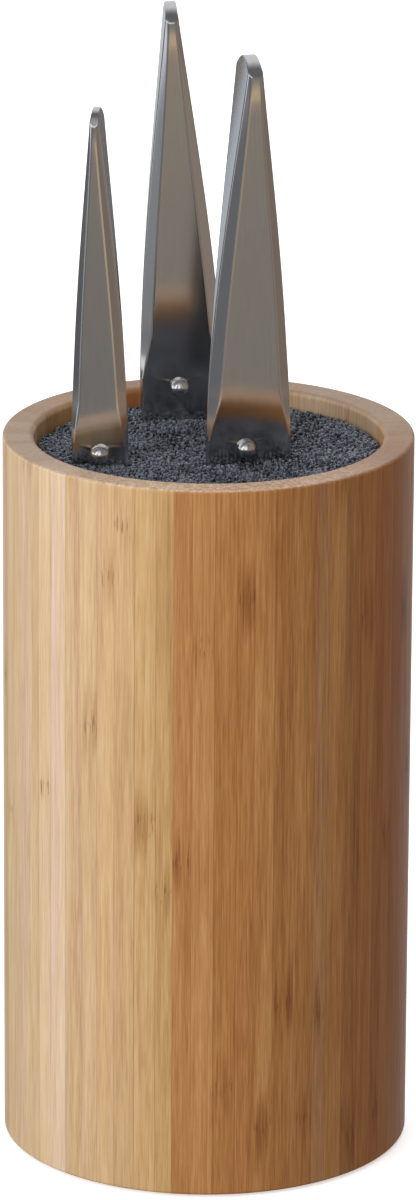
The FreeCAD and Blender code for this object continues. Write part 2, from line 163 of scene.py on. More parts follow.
# Each light: name, front angle, elevation, distance, disc's size, watts, colour.
LIGHTS = (
    ("key", -42, 9, 1.0, 0.8, 7.1, (1.0, 0.98, 0.96)),
    ("rear", -172, 28, 1.9, 1.3, 12, (0.97, 0.98, 1.0)),
    ("top", 10, 78, 1.2, 0.7, 3.2, (1.0, 0.99, 0.97)),
)
FLOOR_RADIUS = 30.0
FLOOR_SIDES = 96
FLOOR_TONES = ((0.90, 0.90, 0.90), (0.92, 0.92, 0.92))
FLOOR_GLOW = 0.55  # keeps the floor pale where the low key light hardly reaches it


def make_camera():
    data = bpy.data.cameras.new("camera")
    data.lens = CAMERA_LENS
    data.sensor_width = CAMERA_SENSOR
    camera = bpy.data.objects.new("camera", data)
    look = (CAMERA_TARGET - CAMERA_SPOT).to_track_quat("-Z", "Y")
    camera.rotation_mode = "QUATERNION"
    camera.rotation_quaternion = look @ Quaternion((0, 0, 1), CAMERA_ROLL)
    camera.location = CAMERA_SPOT
    bpy.context.scene.collection.objects.link(camera)
    bpy.context.scene.camera = camera


def bearing(front_angle, elevation):
    """Unit vector towards a front angle and an elevation, both in degrees."""
    around, up = math.radians(front_angle), math.radians(elevation)
    return Vector(
        (math.sin(around) * math.cos(up), -math.cos(around) * math.cos(up), math.sin(up))
    )


def make_light(name, front_angle, elevation, distance, size, watts, colour):
    data = bpy.data.lights.new(name, "AREA")
    data.shape = "DISK"
    data.size = size
    data.energy = watts
    data.color = colour
    light = bpy.data.objects.new(name, data)
    light.location = LIT_CENTRE + distance * bearing(front_angle, elevation)
    light.rotation_mode = "QUATERNION"
    light.rotation_quaternion = (LIT_CENTRE - light.location).to_track_quat("-Z", "Y")
    light.visible_glossy = False  # steel reflects the world's lobes instead
    bpy.context.scene.collection.objects.link(light)


# ---------------------------------------------------------------- node trees
class Tree:
    """Short calls for a node tree: a socket given as an input is linked, a value is set."""

    def __init__(self, tree):
        self.tree = tree

    def node(self, kind, inputs=None, **settings):
        made = self.tree.nodes.new(kind)
        for name, value in settings.items():
            setattr(made, name, value)
        for place, value in (inputs or {}).items():
            self.feed(made.inputs[place], value)
        return made

    def feed(self, socket, value):
        if isinstance(value, bpy.types.NodeSocket):
            self.tree.links.new(value, socket)
        else:
            socket.default_value = value

    def math(self, operation, *values):
        made = self.node("ShaderNodeMath", dict(enumerate(values)), operation=operation)
        return made.outputs[0]

    def add(self, a, b):
        return self.math("ADD", a, b)

    def subtract(self, a, b):
        return self.math("SUBTRACT", a, b)

    def times(self, a, b):
        return self.math("MULTIPLY", a, b)

    def total(self, *values):
        result = values[0]
        for value in values[1:]:
            result = self.add(result, value)
        return result

    def ease(self, value, low, high, start=0.0, end=1.0):
        """Smooth step from start to end while value goes from low to high."""
        made = self.node(
            "ShaderNodeMapRange",
            {0: value, 1: low, 2: high, 3: start, 4: end},
            interpolation_type="SMOOTHSTEP",
        )
        return made.outputs[0]

    def mix(self, share, first, second):
        made = self.node("ShaderNodeMix", {0: share, 6: first, 7: second}, data_type="RGBA")
        return made.outputs[2]

    def vector(self, x, y, z):
        return self.node("ShaderNodeCombineXYZ", {0: x, 1: y, 2: z}).outputs[0]

    def noise(self, vector, scale, detail=3.0, rough=0.55):
        made = self.node(
            "ShaderNodeTexNoise",
            {"Vector": vector, "Scale": scale, "Detail": detail, "Roughness": rough},
        )
        return made.outputs[0]

    def chance(self, value):
        """A repeatable random number from 0 to 1 for each value."""
        made = self.node("ShaderNodeTexWhiteNoise", {"W": value}, noise_dimensions="1D")
        return made.outputs[0]

    def ramp(self, share, *colours):
        """Colours evenly spaced from 0 to 1."""
        made = self.node("ShaderNodeValToRGB", {0: share})
        stops = made.color_ramp.elements
        while len(stops) < len(colours):
            stops.new(0.5)
        for place, colour in enumerate(colours):
            stops[place].position = place / (len(colours) - 1)
            stops[place].color = (*colour, 1)
        return made.outputs[0]

    def steps(self, share, values):
        """One of the values, by equal steps of share from 0 to 1."""
        made = self.node("ShaderNodeValToRGB", {0: share})
        made.color_ramp.interpolation = "CONSTANT"
        stops = made.color_ramp.elements
        while len(stops) < len(values):
            stops.new(0.5)
        for place, value in enumerate(values):
            stops[place].position = place / len(values)
            stops[place].color = (value, value, value, 1)
        return made.outputs[0]

    def place(self):
        """The object's own coordinates: the vector and its x, y and z."""
        whole = self.node("ShaderNodeTexCoord").outputs["Object"]
        split = self.node("ShaderNodeSeparateXYZ", {0: whole})
        return whole, *split.outputs

    def stretched(self, x, y, z, scale_x, scale_y, scale_z):
        return self.vector(self.times(x, scale_x), self.times(y, scale_y), self.times(z, scale_z))


def new_material(name, roughness, metallic=0.0):
    """A material with one Principled shader."""
    material = bpy.data.materials.new(name)
    material.use_nodes = True
    shader = material.node_tree.nodes["Principled BSDF"]
    shader.inputs["Roughness"].default_value = roughness
    shader.inputs["Metallic"].default_value = metallic
    return material, Tree(material.node_tree), shader


def bump(tree, shader, height, distance):
    made = tree.node("ShaderNodeBump", {"Height": height, "Distance": distance})
    tree.feed(shader.inputs["Normal"], made.outputs[0])


# ---------------------------------------------------------------- world
# Each lobe: front angle, elevation, cosine where it starts, cosine where it is full, colour.
WORLD_BASE = (0.26, 0.245, 0.225, 1)
WORLD_LOBES = (
    (-50, -18, 0.75, 0.97, (0.18, 0.185, 0.20, 1)),
    (-75, -18, 0.94, 0.99, (0.30, 0.31, 0.33, 1)),
    (-112, -20, 0.95, 0.99, (0.13, 0.135, 0.15, 1)),
    (-158, 5, 0.86, 0.98, (0.64, 0.70, 0.80, 1)),
    (160, -4, 0.75, 0.97, (0.66, 0.67, 0.70, 1)),
    (95, -10, 0.50, 0.92, (0.26, 0.205, 0.17, 1)),
    (81, -13, 0.960, 0.988, (0.34, 0.28, 0.235, 1)),
    (0, 75, 0.50, 0.90, (0.17, 0.17, 0.18, 1)),
    (180, 45, 0.60, 0.95, (0.85, 0.85, 0.89, 1)),
    (-14, 42, 0.86, 0.97, (0.48, 0.49, 0.52, 1)),
    (-8, 23, 0.91, 0.975, (0.95, 0.97, 1.0, 1)),
    (-52, 12, 0.950, 0.985, (1.1, 1.15, 1.2, 1)),
    (-84, -4, 0.970, 0.992, (1.0, 1.05, 1.15, 1)),
    (-42, 32, 0.965, 0.99, (1.1, 1.14, 1.2, 1)),
    (-90, 5, 0.958, 0.988, (1.15, 1.2, 1.28, 1)),
)
# A low band of warm light in front. As sines of the elevation: where it starts, is full,
# starts to fade and is gone; then its colour.
FRONT_BAND = (-0.355, -0.28, -0.235, -0.165, (0.76, 0.57, 0.38, 1))
# It comes in over these values towards the camera's side, and from left to right it goes
# from a share of its strength to the whole.
BAND_AHEAD = (0.72, 0.86)
BAND_ACROSS = (-0.30, 0.05, 0.45, 1.0)
BACKDROP = (1.0, 1.0, 1.0, 1)


def make_world():
    """What steel reflects: light at the left, dark and warm at the right; a pale backdrop."""
    world = bpy.data.worlds.new("studio")
    bpy.context.scene.world = world
    world.use_nodes = True
    tree = Tree(world.node_tree)
    direction = tree.node("ShaderNodeTexCoord").outputs["Generated"]
    colour = WORLD_BASE
    for front_angle, elevation, start, full, lobe in WORLD_LOBES:
        towards = tree.node(
            "ShaderNodeVectorMath",
            {0: direction, 1: bearing(front_angle, elevation)},
            operation="DOT_PRODUCT",
        )
        colour = tree.mix(tree.ease(towards.outputs["Value"], start, full), colour, lobe)
    x, y, z = tree.node("ShaderNodeSeparateXYZ", {0: direction}).outputs
    low, full, fading, gone, warm = FRONT_BAND
    band = tree.times(tree.ease(z, low, full), tree.ease(z, fading, gone, 1, 0))
    ahead = tree.ease(tree.times(y, -1.0), *BAND_AHEAD)
    ahead = tree.times(ahead, tree.ease(x, *BAND_ACROSS))
    colour = tree.mix(tree.times(band, ahead), colour, warm)
    seen = tree.node("ShaderNodeLightPath").outputs["Is Camera Ray"]
    background = world.node_tree.nodes["Background"]
    tree.feed(background.inputs["Color"], tree.mix(seen, colour, BACKDROP))


def make_floor():
    material, tree, shader = new_material("studio_floor", roughness=0.9)
    shader.inputs["Emission Color"].default_value = (1, 1, 1, 1)
    shader.inputs["Emission Strength"].default_value = FLOOR_GLOW
    whole, *_ = tree.place()
    shade = tree.noise(whole, 1.5)
    tree.feed(shader.inputs["Base Color"], tree.ramp(shade, *FLOOR_TONES))
    turns = [math.tau * i / FLOOR_SIDES for i in range(FLOOR_SIDES)]
    rim = [(FLOOR_RADIUS * math.cos(turn), FLOOR_RADIUS * math.sin(turn), 0) for turn in turns]
    mesh = bpy.data.meshes.new("floor")
    mesh.from_pydata(rim, [], [list(range(FLOOR_SIDES))])
    mesh.materials.append(material)
    floor = bpy.data.objects.new("floor", mesh)
    floor.visible_glossy = False
    floor.visible_diffuse = False
    bpy.context.scene.collection.objects.link(floor)


# ---------------------------------------------------------------- bamboo
# Layers of noise in the wood: scale across the fibres, scale along them, detail, roughness.
BANDS = (520, 8, 3.0, 0.6)
FIBRES = (1500, 42, 3.0, 0.65)
THREADS = (3000, 110, 2.0, 0.6)
CLOUDS = (150, 16, 2.0, 0.5)
RAGGED = (700, 20, 2.0, 0.6)
DASHES = (1700, 170, 2.0, 0.5)
BLUSH = (330, 6, 3.0, 0.6)
POLISH = (2600, 30, 3.0, 0.6)

MIDDLE_TONE = 0.53
STRIP_WEIGHT = 0.30
BAND_WEIGHT = 0.60
FIBRE_WEIGHT = 1.00
THREAD_WEIGHT = 0.75
CLOUD_WEIGHT = 0.50
FLAME_WEIGHT = -0.42
SEAM_EDGES = (0.04 * MM, 0.24 * MM)
JOINT_EDGES = (0.05 * MM, 0.35 * MM)
KNUCKLE_SPACING = 0.30  # one knuckle somewhere in this length of each strip
KNUCKLE_EDGES = (0.8 * MM, 4.5 * MM)
KNUCKLE_WANDER = 8 * MM
DASH_EDGES = (0.52, 0.66)
FLAME_EDGES = (1.0 * MM, 16 * MM)
FLAME_BANDS = (0.44, 0.60)
BLUSH_EDGES = (0.40, 0.62)
BLUSH_LUCK = 0.9


def wood_noise(tree, across, depth, along, layer):
    scale_across, scale_along, detail, rough = layer
    place = tree.stretched(across, depth, along, scale_across, 1, scale_along)
    return tree.noise(place, 1.0, detail, rough)


def laminate(tree, across, along, seed):
    """Bamboo strips side by side: tone, seams, knuckles, chance of the strip, rosiness."""
    strip_place = tree.math("DIVIDE", across, STRIP_WIDTH)
    strip = tree.math("FLOOR", strip_place)
    share = tree.subtract(strip_place, strip)
    strip_seed = tree.add(tree.times(strip, 7.31), seed)
    luck = [tree.chance(tree.add(strip_seed, shift)) for shift in (0.0, 31.7, 64.9)]

    edge = tree.times(tree.math("MINIMUM", share, tree.subtract(1.0, share)), STRIP_WIDTH)
    seam = tree.times(
        tree.ease(edge, *SEAM_EDGES, 1.0, 0.0),
        tree.add(0.05, tree.math("POWER", luck[2], 3.0)),
    )

    depth = tree.times(strip_seed, 3.7)
    place = (across, depth, along)
    bands = wood_noise(tree, *place, BANDS)

    wander = tree.times(wood_noise(tree, *place, RAGGED), KNUCKLE_WANDER)
    level = tree.add(tree.times(luck[1], KNUCKLE_SPACING), wander)
    away = tree.math("ABSOLUTE", tree.subtract(along, level))
    knuckle = tree.times(
        tree.ease(away, *KNUCKLE_EDGES, 1.0, 0.0),
        tree.ease(wood_noise(tree, *place, DASHES), *DASH_EDGES),
    )
    flame = tree.times(
        tree.ease(away, *FLAME_EDGES, 1.0, 0.0),
        tree.ease(bands, *FLAME_BANDS),
    )
    tone = tree.total(
        MIDDLE_TONE,
        tree.times(tree.subtract(luck[0], 0.5), STRIP_WEIGHT),
        tree.times(tree.subtract(bands, 0.5), BAND_WEIGHT),
        tree.times(tree.subtract(wood_noise(tree, *place, FIBRES), 0.5), FIBRE_WEIGHT),
        tree.times(tree.subtract(wood_noise(tree, *place, THREADS), 0.5), THREAD_WEIGHT),
        tree.times(tree.subtract(wood_noise(tree, *place, CLOUDS), 0.5), CLOUD_WEIGHT),
        tree.times(flame, FLAME_WEIGHT),
    )
    rosy = tree.add(
        tree.ease(wood_noise(tree, *place, BLUSH), *BLUSH_EDGES),
        tree.times(tree.subtract(luck[2], 0.5), BLUSH_LUCK),
    )
    rosy = tree.math("MINIMUM", 1.0, tree.math("MAXIMUM", 0.0, rosy))
    return tone, seam, knuckle, luck[2], rosy


BAMBOO_DEEP = ((0.27, 0.086, 0.023), (0.44, 0.163, 0.051), (0.57, 0.255, 0.098))
BAMBOO_WARM = ((0.28, 0.096, 0.024), (0.475, 0.212, 0.065), (0.66, 0.360, 0.138))
BAMBOO_PALE = ((0.54, 0.350, 0.175), (0.71, 0.515, 0.305), (0.82, 0.655, 0.450))
BAMBOO_ROSY = ((0.47, 0.285, 0.165), (0.655, 0.460, 0.320), (0.790, 0.610, 0.475))
BAMBOO_GOLD = ((0.42, 0.240, 0.075), (0.60, 0.400, 0.165), (0.74, 0.550, 0.290))
BAMBOO_DARK = (0.170, 0.062, 0.020, 1)
# The rim's cut ends: the first colours as lit at the front, the second a darker copy of them as
# painted shade at the back and sides.
RIM_LIT_TONES = ((0.40, 0.255, 0.160), (0.70, 0.510, 0.365), (0.97, 0.800, 0.650))
RIM_PAINTED_SHADE_TONES = ((0.17, 0.110, 0.076), (0.28, 0.200, 0.145), (0.40, 0.300, 0.235))
WARM_AT = 0.25  # paleness of the warm tones, between the deep and the pale ones
PALE_SHIFT = 0.5  # keeps the values in a colour ramp above 0
PALE_RISE = 1.333  # from the warm tones at WARM_AT to the pale ones at 1
STRIP_PALENESS = 0.16  # spread between the strips of one stave
BOARD_PALENESS, BOARD_GOLD, BOARD_SEED = 0.5, 0.2, 4.0
SEAM_DARK = 0.42
JOINT_DARK = 0.16
KNUCKLE_DARK = 0.62
LOOKING_UP = (0.45, 0.85)  # a normal's z where the rim starts and is full
RIM_SHARE = 0.72  # how much of the cut ends' own colour shows there
RIM_LINES = 0.35  # how much of the seams and joints does
RIM_GRAIN = (900, 900, 60)
RIM_SHADE_SIDEWAYS = 0.6
RIM_PAINTED_SHADE_SPAN = (-0.055, 0.015, 0.0, 0.95)  # where the rim's painted shade towards the back and sides starts and is full
WOOD_ROUGHNESS = 0.40
GRAIN_ROUGHNESS = 0.14
KNUCKLE_ROUGHNESS = 0.15
RIM_ROUGHNESS = 0.12


def bamboo_material(name, staves):
    """Laminated bamboo: staves round the tube, or boards lying flat."""
    material, tree, shader = new_material(name, roughness=0.45)
    _, x, y, z = tree.place()
    if staves:
        radius = tree.math("SQRT", tree.add(tree.times(x, x), tree.times(y, y)))
        around = tree.math("ARCTAN2", x, tree.times(y, -1.0))
        turned = tree.math("DIVIDE", tree.subtract(around, STAVE_TURN), STAVE_PITCH)
        stave = tree.math("FLOOR", turned)
        part = tree.times(tree.subtract(tree.subtract(turned, stave), 0.5), STAVE_PITCH)
        joint_far = tree.subtract(STAVE_PITCH / 2, tree.math("ABSOLUTE", part))
        joint = tree.ease(tree.times(joint_far, radius), *JOINT_EDGES, 1.0, 0.0)
        phase = tree.times(tree.chance(tree.add(stave, 0.37)), STRIP_WIDTH)
        across = tree.add(tree.times(radius, tree.math("SINE", part)), phase)
        seed = tree.times(stave, 53.17)
        along = z
        wrapped = tree.math("WRAP", turned, STAVE_COUNT, 0.0)
        way_round = tree.math("DIVIDE", wrapped, STAVE_COUNT)
        # The half-stave table holds painted sheen, painted light and painted shade as well as the
        # staves' own tones.
        raised = [PALE_SHIFT + value for value in HALF_STAVE_PALENESS_AND_PAINTED_LIGHT]
        pale = tree.subtract(tree.steps(way_round, raised), PALE_SHIFT)
        gold = tree.steps(way_round, HALF_STAVE_GOLD)
    else:
        across, along, seed, joint = x, tree.add(y, KNUCKLE_SPACING / 2), BOARD_SEED, 0.0
        pale, gold = BOARD_PALENESS, BOARD_GOLD
    tone, seam, knuckle, hue, rosy = laminate(tree, across, along, seed)
    pale = tree.add(pale, tree.times(tree.subtract(hue, 0.5), STRIP_PALENESS))
    # Paleness below 0 darkens the tone further: painted shade on the inner wall at the back left.
    tone = tree.add(tone, tree.math("MINIMUM", 0.0, pale))
    pale_share = tree.subtract(tree.times(pale, PALE_RISE), PALE_RISE - 1)
    pale_share = tree.math("MAXIMUM", 0.0, pale_share)
    cream = tree.mix(rosy, tree.ramp(tone, *BAMBOO_PALE), tree.ramp(tone, *BAMBOO_ROSY))
    colour = tree.mix(pale_share, tree.ramp(tone, *BAMBOO_WARM), cream)
    deep_share = tree.ease(pale, 0.0, WARM_AT, 1.0, 0.0)
    colour = tree.mix(deep_share, colour, tree.ramp(tone, *BAMBOO_DEEP))
    colour = tree.mix(gold, colour, tree.ramp(tone, *BAMBOO_GOLD))

    normal = tree.node("ShaderNodeNewGeometry").outputs["Normal"]
    up = tree.node("ShaderNodeSeparateXYZ", {0: normal}).outputs[2]
    top = tree.ease(up, *LOOKING_UP)
    grain = tree.noise(tree.stretched(x, y, z, *RIM_GRAIN), 1.0, 4.0, 0.75)
    line = tree.math("MAXIMUM", tree.times(seam, SEAM_DARK), tree.times(joint, JOINT_DARK))
    line = tree.times(line, tree.ease(top, 0.0, 1.0, 1.0, RIM_LINES))
    mark = tree.times(knuckle, tree.ease(top, 0.0, 1.0, KNUCKLE_DARK, 0.0))
    ends = tree.ramp(tree.ease(grain, 0.30, 0.70), *RIM_LIT_TONES)
    # Painted shade: the rim's cut ends turn darker towards the back and the sides.
    rim_painted_shade = tree.add(y, tree.times(tree.math("ABSOLUTE", x), RIM_SHADE_SIDEWAYS))
    rim_painted_shade = tree.ease(rim_painted_shade, *RIM_PAINTED_SHADE_SPAN)
    ends = tree.mix(rim_painted_shade, ends, tree.ramp(grain, *RIM_PAINTED_SHADE_TONES))
    colour = tree.mix(tree.times(top, RIM_SHARE), colour, ends)
    colour = tree.mix(tree.math("MAXIMUM", line, mark), colour, BAMBOO_DARK)
    tree.feed(shader.inputs["Base Color"], colour)

    rough = tree.total(
        WOOD_ROUGHNESS,
        tree.times(grain, GRAIN_ROUGHNESS),
        tree.times(mark, KNUCKLE_ROUGHNESS),
        tree.times(top, RIM_ROUGHNESS),
    )
    tree.feed(shader.inputs["Roughness"], rough)
    fine = wood_noise(tree, across, seed, along, POLISH)
    height = tree.subtract(tree.times(fine, 0.5), tree.total(line, tree.times(mark, 0.6)))
    bump(tree, shader, height, 0.06 * MM)
    return material


# ---------------------------------------------------------------- steel, plastic, rubber
def steel_material(name, roughness, spread, scales, bright=0.62):
    """Steel with fine marks; scales stretch the marks along x, y and z."""
    material, tree, shader = new_material(name, roughness=roughness, metallic=1.0)
    _, x, y, z = tree.place()
    marks = tree.noise(tree.stretched(x, y, z, *scales), 1.0, 3.0, 0.65)
    smudges = tree.noise(tree.stretched(x, y, z, 60, 60, 25), 1.0, 2.0, 0.5)
    low = (bright * 0.94, bright * 0.925, bright * 0.90)
    high = (bright * 1.05, bright * 1.04, bright * 1.03)
    tree.feed(shader.inputs["Base Color"], tree.ramp(marks, low, high))
    wear = tree.total(
        roughness - spread,
        tree.times(marks, spread),
        tree.times(smudges, spread),
    )
    tree.feed(shader.inputs["Roughness"], wear)
    bump(tree, shader, marks, 0.004 * MM)
    return material


def moulded_material(name, tones, roughness, scale, depth):
    """Plastic or rubber with a fine moulded texture."""
    material, tree, shader = new_material(name, roughness=roughness)
    whole, *_ = tree.place()
    grain = tree.noise(whole, scale, 4.0, 0.6)
    patches = tree.noise(whole, scale / 25, 2.0, 0.5)
    shade = tree.add(tree.times(grain, 0.5), tree.times(patches, 0.5))
    tree.feed(shader.inputs["Base Color"], tree.ramp(shade, *tones))
    tree.feed(shader.inputs["Roughness"], tree.add(roughness - 0.08, tree.times(grain, 0.16)))
    bump(tree, shader, grain, depth)
    return material


BRISTLE_TONES = ((0.010, 0.012, 0.017), (0.250, 0.275, 0.330))


def bristle_material():
    """Blue-black nylon; each rod takes its shade from where it stands."""
    material, tree, shader = new_material("bristle_nylon", roughness=0.42)
    whole, x, y, z = tree.place()
    rods = tree.noise(tree.stretched(x, y, z, 1100, 1100, 2), 1.0, 2.0, 0.7)
    patches = tree.noise(whole, 90.0, 2.0, 0.5)
    shade = tree.add(tree.times(rods, 0.75), tree.times(patches, 0.25))
    colour = tree.ramp(tree.ease(shade, 0.39, 0.62), *BRISTLE_TONES)
    tree.feed(shader.inputs["Base Color"], colour)
    tree.feed(shader.inputs["Roughness"], tree.add(0.34, tree.times(rods, 0.2)))
    bump(tree, shader, tree.noise(whole, 4000.0, 2.0, 0.5), 0.02 * MM)
    return material


# ---------------------------------------------------------------- meshes
SHARP_ANGLE = math.radians(30)
MOST_REACH = 0.45  # of an outline's side, for the rounding of one corner


def new_piece(name, points, faces, material, body, slot, *nodes, matrix=None, facets=False):
    """Adds a piece that rides on a body and stands for CAD nodes; facets keeps flats flat."""
    mesh = bpy.data.meshes.new(name)
    mesh.from_pydata([tuple(p) for p in points], [], faces)
    mesh.polygons.foreach_set("use_smooth", [True] * len(mesh.polygons))
    mesh.materials.append(material)
    mesh.update()
    mesh.set_sharp_from_angle(angle=SHARP_ANGLE)
    piece = bpy.data.objects.new(name, mesh)
    if matrix is not None:
        piece.matrix_world = matrix
    bpy.context.scene.collection.objects.link(piece)
    if facets:
        piece.modifiers.new("flat_facets", "WEIGHTED_NORMAL").keep_sharp = True
    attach(piece, body)
    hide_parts(*nodes)


def skin(rings):
    """Points and faces of a closed skin over rings of equal length, with both ends filled."""
    count = len(rings[0])
    points = [p for ring in rings for p in ring]
    faces = []
    for i in range(len(rings) - 1):
        low, high = i * count, (i + 1) * count
        for j in range(count):
            k = (j + 1) % count
            faces.append((low + j, low + k, high + k, high + j))
    faces.append(tuple(range(count))[::-1])
    faces.append(tuple((len(rings) - 1) * count + j for j in range(count)))
    return points, faces


def rounded(corners, radii, steps):
    """A closed outline with each corner replaced by a short arc of steps + 1 points."""
    outline = []
    count = len(corners)
    for i, corner in enumerate(corners):
        before, after = corners[i - 1] - corner, corners[(i + 1) % count] - corner
        reach = min(radii[i], MOST_REACH * before.length, MOST_REACH * after.length)
        start, end = corner + before.normalized() * reach, corner + after.normalized() * reach
        for step in range(steps + 1):
            t = step / steps
            outline.append((1 - t) ** 2 * start + 2 * t * (1 - t) * corner + t * t * end)
    return outline


def spaced(start, end, count, power=1.0):
    """Numbers from start to end, closer together near the start for a power above 1."""
    return [start + (end - start) * (i / count) ** power for i in range(count + 1)]


# ---------------------------------------------------------------- handles
BOW_SCALE = 5.38
FLAT_START = 0.18
FLAT_POWER = 1.2
CHAMFER_FULL_AT = 0.12
TAPER_POWER = 3
SIDE_STARTS = (3, 7)  # corners that the two narrow sides start from
SIDE_POINTS = 18
CORNER_STEPS = 4
CORNER_REACH = 0.55 * MM
BUTT_REACH = 0.35 * MM
CURL_START = 0.895  # above this share the broad faces curl in towards the butt
CURL_DEPTH = 1.5 * MM
LEAST_CHAMFER = 0.3 * MM
ROOF_SCALE = 0.953
ROOF_POWER = 2.0
END_ROUNDS = 12  # of finding where each line along the handle meets the roof
STATIONS = 44
STATION_POWER = 1.6
EDGE_RINGS = 5
ROOF_RINGS = (0.8, 0.6, 0.4, 0.2, 0.05)


def roof_drop(knife, y):
    """How far the roof-shaped butt lies below its ridge, at y off the mid-plane."""
    share = abs(y) / (knife.butt_thick / 2)
    return ROOF_RISE * ROOF_SCALE * share**ROOF_POWER


def handle_corners(knife, share):
    """The eight corners of the handle's section at a share of its length."""
    bow = BOW_SCALE * share * (1 - share) ** 1.5
    width = (
        knife.base_width / 2 * (1 - share) + knife.butt_width / 2 * share + knife.bulge * bow
    )
    chamfer = min(1.0, share / CHAMFER_FULL_AT) * (1 - share**TAPER_POWER)
    size = knife.base_width / WIDEST_BASE
    face = width - BUTT_INSET - (FACE_INSET - BUTT_INSET) * size * chamfer
    thick = NECK_THICK / 2 * (1 - share) + knife.butt_thick / 2 * share
    thick -= CURL_DEPTH * max(0.0, (share - CURL_START) / (1 - CURL_START)) ** 2
    grown = (max(0.0, share - FLAT_START) / (1 - FLAT_START)) ** FLAT_POWER
    flat = RIDGE_WIDTH / 2 + (knife.butt_thick / 2 * BUTT_FLAT_SHARE - RIDGE_WIDTH / 2) * grown
    quarter = [(width, min(flat, thick - LEAST_CHAMFER)), (face, thick)]
    right_back = [Vector(p) for p in quarter]
    left_back = [Vector((-x, y)) for x, y in reversed(quarter)]
    left_front = [Vector((-x, -y)) for x, y in quarter]
    right_front = [Vector((x, -y)) for x, y in reversed(quarter)]
    return right_back + left_back + left_front + right_front


def handle_outline(knife, share):
    """The section's outline, with extra points along its two narrow sides."""
    plain_outline = rounded(handle_corners(knife, share), [CORNER_REACH] * 8, CORNER_STEPS)
    arc = CORNER_STEPS + 1
    outline = []
    for corner in range(8):
        outline += plain_outline[corner * arc : (corner + 1) * arc]
        if corner in SIDE_STARTS:
            start, end = outline[-1], plain_outline[(corner + 1) * arc % len(plain_outline)]
            outline += [start.lerp(end, i / SIDE_POINTS) for i in range(1, SIDE_POINTS)]
    return outline


def handle_spot(knife, share, index):
    """One point of the section's outline, in the knife's frame."""
    spot = handle_outline(knife, share)[index]
    return Vector((spot.x, spot.y, SHOULDER + (knife.length - SHOULDER) * share))


def make_handle(knife, material):
    """Faceted hollow handle as one polished skin, with its roof-shaped butt."""
    count = len(handle_outline(knife, 0.5))
    ends = []
    for j in range(count):
        share = 1.0
        for _ in range(END_ROUNDS):
            y = handle_outline(knife, share)[j].y
            top = knife.length - roof_drop(knife, y)
            share = (top - SHOULDER) / (knife.length - SHOULDER)
        ends.append(share)
    body_rings = []
    for station in spaced(0, 1, STATIONS, STATION_POWER):
        ring = []
        for j in range(count):
            share = station * (ends[j] - BUTT_REACH / knife.length)
            ring.append(handle_spot(knife, share, j))
        body_rings.append(ring)
    rim = [handle_spot(knife, end, j) for j, end in enumerate(ends)]

    def on_roof(point, inward):
        """A point of the roof, moved in from the rim by a length."""
        x = point.x * (1 - inward / (knife.butt_width / 2))
        y = point.y * (1 - inward / (knife.butt_thick / 2))
        return Vector((x, y, knife.length - roof_drop(knife, y)))

    top_rings = []
    for step in range(1, EDGE_RINGS):
        t = step / EDGE_RINGS
        ring = []
        for side, corner in zip(body_rings[-1], rim):
            inner = on_roof(corner, BUTT_REACH)
            ring.append((1 - t) ** 2 * side + 2 * t * (1 - t) * corner + t * t * inner)
        top_rings.append(ring)
    edge = [on_roof(corner, BUTT_REACH) for corner in rim]
    top_rings.append(edge)
    for kept in ROOF_RINGS:
        ring = []
        for point in edge:
            y = point.y * kept
            ring.append(Vector((point.x * kept, y, knife.length - roof_drop(knife, y))))
        top_rings.append(ring)
    points, faces = skin(body_rings + top_rings)
    new_piece(
        f"{knife.name}_handle",
        points,
        faces,
        material,
        knife.body,
        "handle_steel",
        f"{knife.name}_front_shell",
        f"{knife.name}_back_shell",
        matrix=knife.matrix,
        facets=True,
    )


# ---------------------------------------------------------------- blades and pearls
BELLY_POWER = 2.6
SPINE_POWER = 3
DISTAL_TAPER = 0.55
COARSE_COLUMNS = 12
FINE_COLUMNS = 84
FINE_REACH = 7.5 * MM  # to each side of the pearl
BLADE_RINGS = 46
BLADE_RING_POWER = 1.3
HEEL_ROUND = 0.5 * MM  # from the heel to the first ring of the part by the pearl
CREASES_FROM = -1.2 * MM  # below this height its rings stand further apart
RICASSO_RINGS = 30
THINNEST = 0.03 * MM
SPINE_SHARE, SPINE_EASE = 0.55, 2.2  # thickness at the spine, and how soon it is full
GRIND_POWER = 1.4
EDGE_SHARE = 1.6
BEVEL_SLOPE = 12
SHORT_CHAMFER = 0.3 * MM  # where the chamfers run out at the heel
CREASE_HEIGHTS = (1.35 * MM, 1.95 * MM)  # above the pearl's centre, to spine and to edge
CREASE_SLOPES = (0.20, 0.08)
CREASE_RISES = (0.22 * MM, 0.13 * MM)
CREASE_WIDTH = 0.58 * MM
CREASE_CLEAR = 3.1 * MM  # the creases fade out inside this distance from the pearl's centre


def columns(knife):
    """Shares across the blade, from spine to edge, close together by the pearl."""
    left, right = (
        0.5 + (knife.pearl_off + side * FINE_REACH) / knife.base_width for side in (-1, 1)
    )
    coarse_left = spaced(0, left, COARSE_COLUMNS)
    fine = spaced(left, right, FINE_COLUMNS)
    coarse_right = spaced(right, 1, COARSE_COLUMNS)
    return coarse_left[:-1] + fine + coarse_right[1:]


def blade_ring(knife, share):
    """Section of the blade: 0 at the heel, 1 at the tip, spine to cutting edge."""
    back_line = -knife.base_width / 2
    spine = back_line + knife.tip_drop * share**SPINE_POWER
    depth = 1 - share**BELLY_POWER
    cutting = (
        back_line
        + knife.tip_drop
        + TIP_WIDTH
        + (knife.blade_width - knife.tip_drop - TIP_WIDTH) * depth
    )
    back = BLADE_THICK / 2 * (1 - DISTAL_TAPER * share)
    height = knife.heel - knife.blade_length * share
    side = []
    for t in columns(knife):
        x = spine + (cutting - spine) * t
        soft = min(1.0, SPINE_SHARE + SPINE_EASE * t)
        ground = back * (1 - t**GRIND_POWER) + EDGE_THICK * EDGE_SHARE * t
        half = max(THINNEST, min(back * soft, ground, (1 - t) * BEVEL_SLOPE * back))
        side.append((x, half))
    upper = [Vector((x, half, height)) for x, half in side]
    lower = [Vector((x, -half, height)) for x, half in reversed(side)]
    return upper + lower


